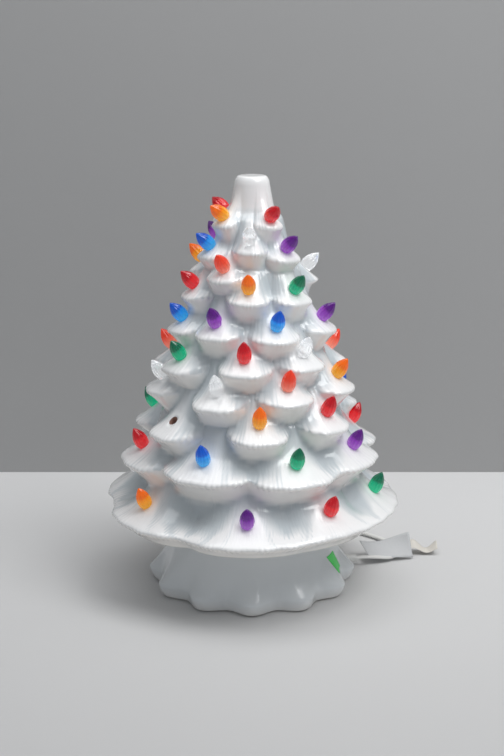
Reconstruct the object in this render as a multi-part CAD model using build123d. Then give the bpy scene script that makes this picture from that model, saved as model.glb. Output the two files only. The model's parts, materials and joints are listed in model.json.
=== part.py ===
from build123d import *
import math
import os

# A two-piece glazed ceramic tree with push-in plastic lights, lit by one screw-in lamp in its base.
# Millimetres, +Z up, origin on the floor under the middle of the base, front of the tree towards -Y.
# Directions are degrees from the front, growing towards +X.

# Base
base_height = 70.0
base_belly_height = 13.0
base_foot_radius = 88.0
base_belly_radius = 92.5
base_top_radius = 72.0
base_waist_power = 1.78
base_lobes = 12
base_lobe_depth = 5.5
base_wall = 6.0
base_plate = 6.0
dry_foot_inset = 1.6
dry_foot_height = 1.5
collar_radius = 60.0
collar_wall = 6.0
collar_height = 4.5

# Tree
collar_clearance = 1.0
tree_floor = 6.0
tree_wall = 4.0
rim_lip_height = 13.0
tier_rises = (49.0, 34.0, 28.0, 27.0, 27.5, 29.0, 19.5, 18.5, 26.5)
stub_rise = 43.0
rim_radius = 138.0
crown_radius = 41.0
tree_bulge = 3.5
rim_valley = 33.0
crown_valley = 13.0
stub_root_radius = 20.0
stub_top_radius = 14.6
stub_shoulder = 14.0
stub_edge = 3.6
stub_cap = 14.0

# A bough: how far it reaches up and down from its lip, and its half width in degrees
rim_bough_height = 52.0
crown_bough_height = 34.0
rim_underside = 25.0
crown_underside = 17.0
rim_bough_spread = 43.0
second_bough_spread = 33.0
third_bough_spread = 20.5
crown_bough_spread = 30.0
# How it narrows and draws in towards its two ends, and how round its sides are
rim_top_taper = 0.75
tier_top_taper = 0.5
underside_taper = 0.4
bough_top_power = 2.5
bough_underside_power = 1.15
bough_side_power = 3.4
bough_edge_power = 1.5
bough_blend_power = 4

# The boughs of each tier from the rim up: direction, rise of the lip, and colour of the light
boughs = (
    ((-105, 3, "clear"), (-54, 0, "amber"), (-2, -1, "purple"), (36, 2, "red"),
     (74, 2, "green"), (120, 0, "blue"), (165, 0, "coral"), (210, 0, "green")),
    ((-72, -3, "red"), (-24, 0, "blue"), (22, -2, "green"), (62, 1, "purple"),
     (112, 0, "red"), (165, 0, "amber"), (232, 0, "clear")),
    ((-110, -15, "green"), (-48, -4, "empty"), (4, 0, "amber"), (46, 3, "red"),
     (120, -2, "blue"), (187, 0, "purple")),
    ((-72, 0, "clear"), (-21, -2, "clear"), (22, 2, "coral"), (66, 3, "amber"),
     (155, 0, "purple"), (220, 0, "red")),
    ((-110, -10, "coral"), (-55, -4, "green"), (-5, 0, "red"), (37, 2, "clear"),
     (115, -12, "coral"), (183, 0, "blue")),
    ((-69, 0, "blue"), (-29, 1, "purple"), (19, -1, "blue"), (71, 0, "purple"),
     (150, 0, "green"), (217, 0, "amber")),
    ((-67, 1, "red"), (-3, 2, "amber"), (42, 0, "green"), (143, 0, "blue"), (215, 0, "purple")),
    ((-114, -1, "amber"), (-30, 0, "coral"), (112, -9, "clear"), (190, 0, "green")),
    ((-134, 0, "purple"), (-60, -1, "blue"), (-3, 6, "clear"), (44, -2, "purple"), (160, 0, "red")),
    ((-50, 0, "amber"), (29, 0, "red"), (165, 0, "blue"), (230, 0, "red")),
)

# Lights and their holes
light_length = 20.0
light_radius = 6.4
light_belly = 6.5
light_foot_radius = 4.9
light_tip_radius = 0.6
peg_radius = 4.0
peg_length = 9.0
peg_clearance = 0.25
seat_clearance = 0.6
seat_sink = 0.8
rim_seat_inset = 21.0
crown_seat_inset = 9.5
rim_light_tilt = 24.0
crown_light_tilt = 56.0
hole_depth = 18.0

# Socket and lamp
socket_radius = 10.5
socket_above_plate = 12.0
socket_bottom = 14.0
socket_flange_radius = 17.0
socket_flange = 2.5
socket_clearance = 0.4
shell_wall = 0.5
cap_radius = 5.8
cap_length = 14.0
cap_wall = 0.4
cap_proud = 1.0
thread_clearance = 0.3
insulator_height = 1.6
lamp_contact_radius = 2.2
lamp_contact_height = 1.0
socket_contact_thickness = 0.6
socket_contact_width = 5.0
lamp_radius = 11.0
lamp_neck_length = 4.0
lamp_neck_clearance = 0.1
lamp_length = 40.0
lamp_wall = 0.7
stem_radius = 2.6
stem_height = 12.0
filament_wire = 0.35
filament_post = 1.0
filament_root = 1.5
filament_span = 8.0
filament_rise = 9.0
clip_wall = 0.7
clip_height = 9.0
clip_leg_width = 6.0
clip_leg_reach = 7.0

# Cord, boot, coil, tie and plug
cord_width = 5.0
cord_direction = 105.0
cord_exit_height = 9.0
cord_clearance = 0.12
boot_hole_radius = 5.0
boot_flange_radius = 6.6
boot_flange = 2.0
boot_snout = 20.0
boot_seat_sink = 1.5
boot_tip_radius = 3.5
coil_centre_x = 20.0
coil_centre_y = 168.0
coil_radius = 40.0
coil_gap = 0.6
coil_half_turns_in = 7
tie_wall = 0.4
tie_width = 8.0
tie_clearance = 0.3
plug_length = 26.0
plug_width = 20.0
plug_thickness = 14.0
plug_round = 3.0
plug_neck_length = 10.0
plug_neck_radius = 4.2
blade_length = 17.0
blade_root = 8.0
blade_thickness = 1.5
blade_spacing = 12.7
narrow_blade_width = 6.3
wide_blade_width = 7.9

# Tag and label on the cord
tag_length = 48.0
tag_height = 26.0
tag_lean = 45.0
label_length = 14.0
label_height = 38.0
label_lean = 4.0
leaf_thickness = 0.4
sleeve_length = 5.0
sleeve_clearance = 0.4

# How finely the wavy walls are cut into level sections
tree_step = 9.0
cavity_step = 13.0
base_step = 8.0
ring_arcs = 6
tree_arc_points = 14
cavity_points = 24
base_arc_points = 24


def mix(low, high, share):
    return low + (high - low) * share


def around(direction, radius, z):
    angle = math.radians(direction)
    return Vector(radius * math.sin(angle), -radius * math.cos(angle), z)


def level_list(heights, step):
    levels = []
    for low, high in zip(heights, heights[1:]):
        count = max(round((high - low) / step), 1)
        levels += [mix(low, high, k / count) for k in range(count)]
    return levels + [heights[-1]]


def level_wire(radius_at, z, arc_points):
    edges = []
    for arc in range(ring_arcs):
        shares = [k / arc_points for k in range(arc_points + 1)]
        directions = [360 * (arc + share) / ring_arcs for share in shares]
        spots = [around(d, radius_at(d, z), z) for d in directions]
        edges.append(Edge.make_spline(spots, parameters=shares))
    return Wire(edges)


def faceted_solid(radius_at, levels, points):
    directions = [360 * k / points for k in range(points)]
    rings = [[around(d, radius_at(d, z), z) for d in directions] for z in levels]
    return Solid.make_loft([Wire.make_polygon(ring) for ring in rings], ruled=True)


def wavy_solid(radius_at, levels, arc_points):
    return Solid.make_loft([level_wire(radius_at, z, arc_points) for z in levels], ruled=True)


# Shape of the base: radius at a direction and height

def base_radius(direction, z):
    if z < base_belly_height:
        below = (base_belly_height - z) / base_belly_height
        middle = base_belly_radius - (base_belly_radius - base_foot_radius) * below**2
        lobe = base_lobe_depth * (1 - 0.2 * below**2)
    else:
        above = min((z - base_belly_height) / (base_height - base_belly_height), 1)
        fade = (1 - above) ** base_waist_power
        middle = mix(base_top_radius, base_belly_radius, fade)
        lobe = base_lobe_depth * fade
    return middle + lobe * math.cos(math.radians(base_lobes * direction))


# Shape of the tree: a trunk that narrows upwards, with boughs that swell out of it

plate_under = base_height - base_plate
tree_foot = base_height
lip_heights = [tree_foot + rim_lip_height]
for rise in tier_rises:
    lip_heights.append(lip_heights[-1] + rise)
rim_lip = lip_heights[0]
crown_lip = lip_heights[-1]
tree_top = crown_lip + stub_rise
stub_root = crown_lip + stub_shoulder


def climb(z):
    return (z - rim_lip) / (crown_lip - rim_lip)


def lip_radius(z):
    share = climb(z)
    return mix(rim_radius, crown_radius, share) + tree_bulge * math.sin(math.pi * min(max(share, 0), 1))


def trunk_radius(z):
    if z <= crown_lip:
        return lip_radius(z) - mix(rim_valley, crown_valley, climb(z))
    stub = mix(stub_root_radius, stub_top_radius, (z - stub_root) / (tree_top - stub_root))
    share = min((z - crown_lip) / stub_shoulder, 1)
    return mix(crown_radius - crown_valley, stub, share * share * (3 - 2 * share))


upper_tiers = len(lip_heights) - 2
bough_spreads = [rim_bough_spread, second_bough_spread]
for k in range(upper_tiers):
    bough_spreads.append(mix(third_bough_spread, crown_bough_spread, k / (upper_tiers - 1)))


def bough_swell(tier, lift, offset, z):
    lip = lip_heights[tier] + lift
    share = climb(lip_heights[tier])
    if z >= lip:
        reach = (z - lip) / mix(rim_bough_height, crown_bough_height, share)
        fall = max(1 - reach, 0) ** bough_top_power
        taper = 1 - tier_top_taper * reach
        if tier == 0:
            taper = 1 - rim_top_taper * math.sqrt(reach)
    else:
        reach = (lip - z) / mix(rim_underside, crown_underside, share)
        fall = 1 - min(reach, 1) ** bough_underside_power
        taper = 1 - underside_taper * reach
    if fall <= 0:
        return 0
    side = abs((offset + 180) % 360 - 180) / (bough_spreads[tier] * taper)
    if side >= 1:
        return 0
    swell = max(lip_radius(lip) - trunk_radius(z), 0)
    return swell * fall * (1 - side**bough_side_power) ** bough_edge_power


def tree_radius(direction, z):
    swells = 0
    for tier, lip in enumerate(lip_heights):
        for bough, lift, _ in boughs[tier]:
            if -rim_underside < z - lip - lift < rim_bough_height:
                swells += bough_swell(tier, lift, direction - bough, z) ** bough_blend_power
    return trunk_radius(z) + swells ** (1 / bough_blend_power)


def tree_cavity_radius(direction, z):
    sideways = math.degrees(tree_wall / trunk_radius(z)) + 180 / cavity_points
    near = [
        tree_radius(direction + across * sideways, z + up * tree_wall)
        for across in (-1, 0, 1)
        for up in (-1, 0, 1)
    ]
    return min(near) - tree_wall


def base_cavity_radius(direction, z):
    return base_radius(direction, max(z, 0)) - base_wall


def dry_foot_radius(direction, z):
    return base_radius(direction, dry_foot_height) - dry_foot_inset


# Each light's hole: where its seat lies on the bough and which way it leans

def seat_place(tier, bough, lift):
    share = climb(lip_heights[tier])
    low = lip_heights[tier] + lift
    radius = lip_radius(low) - mix(rim_seat_inset, crown_seat_inset, share)
    high = low + mix(rim_bough_height, crown_bough_height, share)
    for _ in range(40):
        middle = (low + high) / 2
        if tree_radius(bough, middle) > radius:
            low = middle
        else:
            high = middle
    tilt = mix(rim_light_tilt, crown_light_tilt, share)
    lean = math.sin(math.radians(tilt))
    direction = around(bough, lean, math.cos(math.radians(tilt)))
    seat = around(bough, radius, low) - direction * seat_sink
    return Plane(origin=seat, z_dir=direction)


# Tree shell

def light_hole():
    outline = Polyline(
        (0, -hole_depth),
        (peg_radius + peg_clearance, -hole_depth),
        (peg_radius + peg_clearance, 0),
        (light_radius + seat_clearance, 0),
        (light_radius + seat_clearance, light_length),
        (0, light_length),
        close=True,
    )
    return revolve(Plane.XZ * make_face(outline), Axis.Z)


def make_tree_shell(seats):
    outer_levels = level_list([tree_foot, *lip_heights, stub_root, tree_top], tree_step)
    outer = wavy_solid(tree_radius, outer_levels, tree_arc_points)
    outer = fillet(outer.faces().sort_by(Axis.Z)[-1].edges(), stub_edge)
    cavity_levels = level_list([tree_foot + tree_floor, *lip_heights, tree_top - stub_cap], cavity_step)
    cavity = faceted_solid(tree_cavity_radius, cavity_levels, cavity_points)
    mouth = Pos(0, 0, tree_foot) * Cylinder(collar_radius + collar_clearance, 3 * tree_floor)
    hole = light_hole()
    return outer - cavity - [mouth, *(seat * hole for seat in seats)]


# Lights

def make_light():
    foot = (light_foot_radius, 0)
    belly = (light_radius, light_belly)
    tip = (light_tip_radius, light_length)
    low_bend = (mix(light_foot_radius, light_radius, 0.72), light_belly * 0.45)
    high_bend = (mix(light_radius, light_tip_radius, 0.36), mix(light_belly, light_length, 0.5))
    outline = [
        Line((0, -peg_length), (peg_radius, -peg_length)),
        Line((peg_radius, -peg_length), (peg_radius, 0)),
        Line((peg_radius, 0), foot),
        ThreePointArc(foot, low_bend, belly),
        ThreePointArc(belly, high_bend, tip),
        Line(tip, (0, light_length)),
        Line((0, light_length), (0, -peg_length)),
    ]
    return revolve(Plane.XZ * make_face(outline), Axis.Z)


# Base shell

def make_base_shell():
    levels = level_list([dry_foot_height, base_belly_height, base_height], base_step)
    shell = wavy_solid(base_radius, levels, base_arc_points)
    shell += wavy_solid(dry_foot_radius, [0, dry_foot_height], base_arc_points)
    levels = level_list([-dry_foot_height, base_belly_height, plate_under], base_step)
    shell -= wavy_solid(base_cavity_radius, levels, base_arc_points)
    collar = Cylinder(collar_radius, collar_height) - Cylinder(collar_radius - collar_wall, collar_height)
    shell += Pos(0, 0, base_height + collar_height / 2) * collar
    shell -= Pos(0, 0, base_height) * Cylinder(socket_radius + socket_clearance, 3 * base_plate)
    shell -= cord_axis * Pos(0, 0, boot_seat) * Cylinder(boot_hole_radius, 4 * base_wall)
    spot = Cylinder(boot_flange_radius + cord_clearance, boot_snout)
    return shell - cord_axis * Pos(0, 0, boot_seat + boot_snout / 2) * spot


# Boot: a bushing through the base wall with a tapered snout

cord_radius = cord_width / 2
cord_axis = Plane(origin=(0, 0, cord_exit_height), z_dir=around(cord_direction, 1, 0))
valley_radius = base_radius(cord_direction, cord_exit_height)
boot_seat = valley_radius - boot_seat_sink
boot_inner_end = boot_seat - base_wall - boot_flange
boot_outer_end = boot_seat + boot_snout


def make_cord_boot():
    shank = Pos(0, 0, (boot_inner_end + boot_seat) / 2) * Cylinder(
        boot_hole_radius - cord_clearance, boot_seat - boot_inner_end
    )
    flange = Pos(0, 0, boot_seat + boot_flange / 2) * Cylinder(boot_flange_radius, boot_flange)
    snout_length = boot_snout - boot_flange
    snout = Pos(0, 0, boot_seat + boot_flange + snout_length / 2) * Cone(
        boot_hole_radius, boot_tip_radius, snout_length
    )
    bore = Pos(0, 0, boot_seat) * Cylinder(cord_radius + cord_clearance, 4 * boot_snout)
    return cord_axis * (shank + flange + snout - bore)


# Socket

socket_top = base_height + socket_above_plate
cap_top = socket_top + cap_proud
cap_foot = cap_top - cap_length
lamp_foot = cap_foot - insulator_height - lamp_contact_height
pocket_floor = lamp_foot - socket_contact_thickness
socket_foot = pocket_floor - socket_bottom
socket_length = socket_top - socket_foot
shell_inner_radius = cap_radius + thread_clearance
shell_outer_radius = shell_inner_radius + shell_wall


def ring(outer, inner, low, high):
    middle = (low + high) / 2
    height = high - low
    return Pos(0, 0, middle) * (Cylinder(outer, height) - Cylinder(inner, 2 * height))


def make_socket_body():
    body = Pos(0, 0, (socket_foot + socket_top) / 2) * Cylinder(socket_radius, socket_length)
    body += Pos(0, 0, base_height + socket_flange / 2) * Cylinder(socket_flange_radius, socket_flange)
    pocket = Pos(0, 0, pocket_floor + socket_length / 2) * Cylinder(shell_outer_radius, socket_length)
    lead_hole = Pos(0, 0, socket_foot) * Cylinder(cord_radius + cord_clearance, socket_bottom)
    return body - pocket - lead_hole


def make_socket_screw_shell():
    low = lamp_foot + lamp_contact_height
    return ring(shell_outer_radius, shell_inner_radius, low, socket_top)


def make_socket_contact():
    strip = Box(2 * shell_inner_radius - 1, socket_contact_width, socket_contact_thickness)
    return Pos(0, 0, pocket_floor + socket_contact_thickness / 2) * strip


def make_socket_clip():
    low = plate_under - clip_height
    inner = socket_radius + cord_clearance
    outer = inner + clip_wall
    hoop = ring(outer, inner, low, plate_under)
    leg = Pos(outer + clip_leg_reach / 2 - clip_wall / 2, 0, plate_under - clip_wall / 2) * Box(
        clip_leg_reach, clip_leg_width, clip_wall
    )
    return hoop + leg + Rot(0, 0, 180) * leg


# Lamp

def make_lamp_cap():
    return ring(cap_radius, cap_radius - cap_wall, cap_foot, cap_top)


def make_lamp_insulator():
    low = lamp_foot + lamp_contact_height
    return Pos(0, 0, (low + cap_foot) / 2) * Cone(lamp_contact_radius, cap_radius, cap_foot - low)


def make_lamp_contact():
    return Pos(0, 0, lamp_foot + lamp_contact_height / 2) * Cylinder(lamp_contact_radius, lamp_contact_height)


def lamp_outline(skin):
    neck_radius = cap_radius - cap_wall - lamp_neck_clearance
    foot = cap_top - lamp_neck_length
    root = (neck_radius - skin, foot)
    neck = (neck_radius - skin, cap_top)
    belly = (lamp_radius - skin, cap_top + lamp_length * 0.42)
    low_bend = (mix(neck_radius, lamp_radius, 0.74) - skin, cap_top + lamp_length * 0.2)
    top = cap_top + lamp_length - skin
    high_bend = (lamp_radius * 0.72 - skin, cap_top + lamp_length * 0.76)
    shoulder = (lamp_radius * 0.2, top)
    return [
        Line((0, foot), root),
        Line(root, neck),
        ThreePointArc(neck, low_bend, belly),
        ThreePointArc(belly, high_bend, shoulder),
        Line(shoulder, (0, top)),
        Line((0, top), (0, foot)),
    ]


def make_lamp_glass():
    outside = revolve(Plane.XZ * make_face(lamp_outline(0)), Axis.Z)
    inside = revolve(Plane.XZ * make_face(lamp_outline(lamp_wall)), Axis.Z)
    return outside - inside


def make_lamp_stem():
    low = cap_foot + cord_clearance
    high = cap_top + stem_height
    return Pos(0, 0, (low + high) / 2) * Cylinder(stem_radius, high - low)


def make_lamp_filament():
    low = cap_top + stem_height
    bend = low + filament_post
    high = low + filament_rise
    half = filament_span / 2
    leg = [(filament_root, 0, low), (filament_root, 0, bend), (half, 0, high)]
    wire = Polyline(*leg, *((-x, y, z) for x, y, z in reversed(leg)))
    start = Plane(origin=wire @ 0, z_dir=wire % 0)
    return sweep(start * Circle(filament_wire), path=wire, transition=Transition.RIGHT)


# Cord: points of its free stretches, chosen by hand

coil_pitch = cord_width + coil_gap
coil_low = tie_wall + tie_clearance + cord_radius
coil_high = coil_low + coil_pitch
coil_start = Vector(coil_centre_x, coil_centre_y - coil_radius, coil_low)
coil_end = Vector(coil_centre_x, coil_centre_y + coil_radius + coil_pitch, coil_high)
run_start = around(cord_direction, boot_outer_end, cord_exit_height)
run_points = [
    run_start,
    around(cord_direction, boot_outer_end + 9, cord_exit_height),
    (124, 34, 7),
    (137, 39, 4),
    (147.5, 54, 3),
    (148, 72, 3),
    (139, 87, 3),
    (125, 102, 3),
    (109, 116, 3),
    (88, 125, 3),
    (64, 127.5, 3.1),
    (40, 128, coil_low),
    coil_start,
]
tag_run = (Vector(*run_points[1]), Vector(*run_points[2]))
label_run = (Vector(*run_points[4]), Vector(*run_points[5]))
plug_back = Vector(78, 207, plug_thickness / 2)
tail_points = [
    coil_end,
    coil_end + Vector(10, 0, 0),
    (43, 212.5, 8.2),
    (60, 209.5, 7.2),
    plug_back,
]
inner_start = Vector(0, 0, socket_foot + socket_bottom / 2)
inner_points = [
    inner_start,
    (0, 0, socket_foot - 14),
    (9, 2, 21),
    (25, 6, 12),
    (46, 12.2, 9.4),
    around(cord_direction, boot_inner_end - 8, cord_exit_height),
    around(cord_direction, boot_outer_end, cord_exit_height),
]


def cord_path(points, name):
    spots = [Vector(*p) if isinstance(p, tuple) else p for p in points]
    runs = [b - a for a, b in zip(spots, spots[1:])]
    radii = []
    for before, after in zip(runs, runs[1:]):
        turn = math.radians(before.get_angle(after))
        radii.append(0.45 * min(before.length, after.length) / math.tan(turn / 2))
    print(name, "radii", [round(r) for r in radii])
    return FilletPolyline(*spots, radius=radii)


def cord_tube(path, name):
    start = Plane(origin=path @ 0, z_dir=path % 0)
    tube = sweep(start * Circle(cord_radius), path=path)
    share = tube.volume / (path.length * math.pi * cord_radius**2)
    print(name, "length", round(path.length, 1), "volume share", round(share, 4))
    return tube


# Coil: half turns that close in on the floor, climb a layer and open out again

def coil_path():
    shrink = coil_pitch / 2
    radii = [coil_radius - shrink * k for k in range(coil_half_turns_in + 1)]
    radii += radii[-2::-1]
    spot = coil_start
    way = Vector(0, 1, 0)
    heading = Vector(-1, 0, 0)
    arcs = []
    for k, radius in enumerate(radii):
        lift = coil_pitch if k == coil_half_turns_in else 0
        far = spot + way * (2 * radius) + Vector(0, 0, lift)
        middle = (spot + far) / 2 + heading * radius
        arcs.append(ThreePointArc(spot, middle, far))
        spot = far
        way = way * -1
        heading = heading * -1
    return Wire(arcs)


def least_gap(path, spacing):
    count = int(path.length / spacing)
    spots = [path @ (k / count) for k in range(count + 1)]
    apart = int(math.pi * coil_radius / 2 / spacing)
    least = min(
        (spots[a] - spots[b]).length for a in range(len(spots)) for b in range(a + apart, len(spots))
    )
    return least - cord_width


# Tie round the turns of the coil at its left side

def make_coil_tie():
    inner_turn = coil_radius - coil_pitch / 2 * (coil_half_turns_in - 1)
    inner_edge = math.sqrt((inner_turn - cord_radius) ** 2 - (tie_width / 2 + coil_pitch / 2) ** 2)
    low_x = coil_centre_x - coil_radius - cord_radius - tie_clearance
    high_x = coil_centre_x - inner_edge + tie_clearance
    low_z = tie_wall
    high_z = coil_high + cord_radius + tie_clearance
    middle = Pos((low_x + high_x) / 2, coil_centre_y + coil_pitch / 2, (low_z + high_z) / 2)
    window = Box(high_x - low_x, 2 * tie_width, high_z - low_z)
    band = Box(high_x - low_x + 2 * tie_wall, tie_width, high_z - low_z + 2 * tie_wall)
    return middle * (band - window)


# Plug

tail_end = cord_path(tail_points, "tail")
plug_frame = Plane(origin=plug_back, x_dir=(0, 0, 1), z_dir=tail_end % 1)


def make_blade(side, width):
    spot = Pos(0, side * blade_spacing / 2, plug_neck_length + plug_length + blade_length / 2 - blade_root / 2)
    return plug_frame * spot * Box(width, blade_thickness, blade_length + blade_root)


def make_plug_body():
    body = Pos(0, 0, plug_neck_length + plug_length / 2) * Box(plug_thickness, plug_width, plug_length)
    body = fillet(body.edges(), plug_round)
    neck = Pos(0, 0, plug_neck_length) * Cylinder(plug_neck_radius, 2 * plug_neck_length)
    body = plug_frame * (body + neck)
    return body - make_blade(1, wide_blade_width) - make_blade(-1, narrow_blade_width)


# Paper tag and label: a leaf that leans up from a sleeve round the cord

def make_leaf(start, end, length, height, lean, side):
    run = end - start
    frame = Plane(origin=(start + end) / 2, x_dir=run, z_dir=Vector(0, 0, 1))
    inner = cord_radius + sleeve_clearance
    outer = inner + leaf_thickness
    sleeve = Cylinder(outer, sleeve_length) - Cylinder(inner, 2 * sleeve_length)
    leaf = Box(length, height, leaf_thickness)
    leaf = Pos((length - sleeve_length) / 2, side * (inner + leaf_thickness / 2 + height / 2), 0) * leaf
    return frame * (Rot(0, 90, 0) * sleeve + Rot(side * lean, 0, 0) * leaf)


seats = {}
for tier, tier_boughs in enumerate(boughs):
    for bough, lift, colour in tier_boughs:
        seats.setdefault(colour, []).append(seat_place(tier, bough, lift))

nodes = {
    "tree_shell": make_tree_shell([seat for group in seats.values() for seat in group]),
    "base_shell": make_base_shell(),
    "cord_boot": make_cord_boot(),
    "socket_body": make_socket_body(),
    "socket_screw_shell": make_socket_screw_shell(),
    "socket_contact": make_socket_contact(),
    "socket_clip": make_socket_clip(),
    "lamp_cap": make_lamp_cap(),
    "lamp_insulator": make_lamp_insulator(),
    "lamp_contact": make_lamp_contact(),
    "lamp_glass": make_lamp_glass(),
    "lamp_stem": make_lamp_stem(),
    "lamp_filament": make_lamp_filament(),
    "cord_inner": cord_tube(cord_path(inner_points, "inner"), "inner"),
    "cord_run": cord_tube(cord_path(run_points, "run"), "run"),
    "cord_coil": cord_tube(coil_path(), "coil"),
    "cord_tail": cord_tube(tail_end, "tail"),
    "coil_tie": make_coil_tie(),
    "cord_tag": make_leaf(*tag_run, tag_length, tag_height, tag_lean, 1),
    "cord_label": make_leaf(*label_run, label_length, label_height, label_lean, -1),
    "plug_body": make_plug_body(),
    "plug_wide_blade": make_blade(1, wide_blade_width),
    "plug_narrow_blade": make_blade(-1, narrow_blade_width),
}
light = make_light()
for colour, places in seats.items():
    if colour != "empty":
        nodes[colour + "_lights"] = Compound([place * light for place in places])

print("coil least gap", round(least_gap(coil_path(), 2.5), 2))
os.makedirs("parts", exist_ok=True)
for name, shape in nodes.items():
    export_step(shape, f"parts/{name}.step")
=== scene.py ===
import bpy
import json
import math
import random
import numpy as np
from mathutils import Matrix, Vector


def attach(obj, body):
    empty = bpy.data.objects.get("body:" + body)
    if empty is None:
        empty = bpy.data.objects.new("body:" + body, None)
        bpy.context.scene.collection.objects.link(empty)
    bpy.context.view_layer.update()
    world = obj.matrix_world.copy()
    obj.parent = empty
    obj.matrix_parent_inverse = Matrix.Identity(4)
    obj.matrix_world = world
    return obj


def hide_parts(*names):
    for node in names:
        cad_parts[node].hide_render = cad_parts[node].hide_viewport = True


# Glazed ceramic tree with push-in lights on its lobed base, seen from the front, which is -Y.
# Sizes are millimetres in the dictionaries and become metres when a mesh is made, apart from
# the stage, the bumps and the cord's length, which are metres from the start.
# Directions are degrees from the front, growing towards +X.

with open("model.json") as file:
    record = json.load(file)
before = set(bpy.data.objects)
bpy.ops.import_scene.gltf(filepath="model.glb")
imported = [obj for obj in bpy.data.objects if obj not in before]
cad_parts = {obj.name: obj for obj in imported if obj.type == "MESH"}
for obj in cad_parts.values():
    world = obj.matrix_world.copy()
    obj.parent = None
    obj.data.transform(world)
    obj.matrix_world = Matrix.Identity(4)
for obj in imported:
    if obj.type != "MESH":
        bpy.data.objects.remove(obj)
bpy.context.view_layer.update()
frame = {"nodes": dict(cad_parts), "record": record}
cadNodes = frame["nodes"]
mm = 0.001
dice = random.Random(11)


def mix(low, high, share):
    return low + (high - low) * share


def around(direction, radius, z):
    angle = math.radians(direction)
    return Vector((radius * math.sin(angle), -radius * math.cos(angle), z))


# the same for many points at once, with their angles in radians
def polar(radius, turn, z):
    level = np.broadcast_to(z, turn.shape)
    return np.stack([radius * np.sin(turn), -radius * np.cos(turn), level], axis=-1)


def turnBetween(direction, other):
    return (direction - other + 180) % 360 - 180


def smooth(share):
    return share * share * (3 - 2 * share)


def deselectAll():
    if bpy.context.object and bpy.context.object.mode != "OBJECT":
        bpy.ops.object.mode_set(mode="OBJECT")
    bpy.ops.object.select_all(action="DESELECT")


def pickOnly(piece):
    deselectAll()
    piece.select_set(True)
    bpy.context.view_layer.objects.active = piece


def applyModifier(piece, kind, **settings):
    pickOnly(piece)
    modifier = piece.modifiers.new(kind.lower(), kind)
    for key, value in settings.items():
        setattr(modifier, key, value)
    bpy.ops.object.modifier_apply(modifier=modifier.name)


def setFinish(piece, material):
    piece.data.materials.clear()
    piece.data.materials.append(material)


def dress(piece, body, slot, material, *replaced):
    setFinish(piece, material)
    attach(piece, body)
    if replaced:
        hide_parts(*replaced)


# Node groups that several finishes share

def newGroup(name, inputs, outputs):
    group = bpy.data.node_groups.new(name, "ShaderNodeTree")
    for label, kind, value in inputs:
        group.interface.new_socket(label, in_out="INPUT", socket_type=kind).default_value = value
    for label, kind in outputs:
        group.interface.new_socket(label, in_out="OUTPUT", socket_type=kind)
    return group, group.nodes.new("NodeGroupInput"), group.nodes.new("NodeGroupOutput")


def addNode(graph, kind, **settings):
    node = graph.nodes.new(kind)
    for key, value in settings.items():
        setattr(node, key, value)
    return node


def rangeNode(graph, source, low, high):
    node = addNode(graph, "ShaderNodeMapRange")
    node.inputs["To Min"].default_value = low
    node.inputs["To Max"].default_value = high
    graph.links.new(source, node.inputs["Value"])
    return node.outputs["Result"]


poured = dict(rippleDetail=1.5, pitDetail=2.0, finer=14.0)


# slow ripples and fine pits of a poured surface: height for a bump, and a patchy gloss
def makeSurfaceGroup():
    group, given, made = newGroup(
        "pouredSurface",
        [("Scale", "NodeSocketFloat", 60.0), ("Pits", "NodeSocketFloat", 0.2)],
        [("Height", "NodeSocketFloat"), ("Patches", "NodeSocketFloat")],
    )
    links = group.links
    place = addNode(group, "ShaderNodeTexCoord")
    ripple = addNode(group, "ShaderNodeTexNoise")
    ripple.inputs["Detail"].default_value = poured["rippleDetail"]
    links.new(place.outputs["Object"], ripple.inputs["Vector"])
    links.new(given.outputs["Scale"], ripple.inputs["Scale"])
    finer = addNode(group, "ShaderNodeMath", operation="MULTIPLY")
    finer.inputs[1].default_value = poured["finer"]
    links.new(given.outputs["Scale"], finer.inputs[0])
    pits = addNode(group, "ShaderNodeTexNoise")
    pits.inputs["Detail"].default_value = poured["pitDetail"]
    links.new(place.outputs["Object"], pits.inputs["Vector"])
    links.new(finer.outputs[0], pits.inputs["Scale"])
    weighed = addNode(group, "ShaderNodeMath", operation="MULTIPLY")
    links.new(pits.outputs["Fac"], weighed.inputs[0])
    links.new(given.outputs["Pits"], weighed.inputs[1])
    total = addNode(group, "ShaderNodeMath", operation="ADD")
    links.new(ripple.outputs["Fac"], total.inputs[0])
    links.new(weighed.outputs[0], total.inputs[1])
    links.new(total.outputs[0], made.inputs["Height"])
    links.new(ripple.outputs["Fac"], made.inputs["Patches"])
    return group


surfaceGroup = makeSurfaceGroup()


# a material with the poured surface in it: its roughness runs between two values
def newFinish(name, colour, rough, scale=60.0, pits=0.2, bump=0.0002, **sockets):
    material = bpy.data.materials.new(name)
    material.use_nodes = True
    graph = material.node_tree
    shader = graph.nodes["Principled BSDF"]
    shader.inputs["Base Color"].default_value = (*colour, 1)
    for label, value in sockets.items():
        shader.inputs[label.replace("_", " ")].default_value = value
    surface = addNode(graph, "ShaderNodeGroup", node_tree=surfaceGroup)
    surface.inputs["Scale"].default_value = scale
    surface.inputs["Pits"].default_value = pits
    graph.links.new(rangeNode(graph, surface.outputs["Patches"], *rough), shader.inputs["Roughness"])
    relief = addNode(graph, "ShaderNodeBump")
    relief.inputs["Distance"].default_value = bump
    graph.links.new(surface.outputs["Height"], relief.inputs["Height"])
    graph.links.new(relief.outputs["Normal"], shader.inputs["Normal"])
    return material


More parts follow.
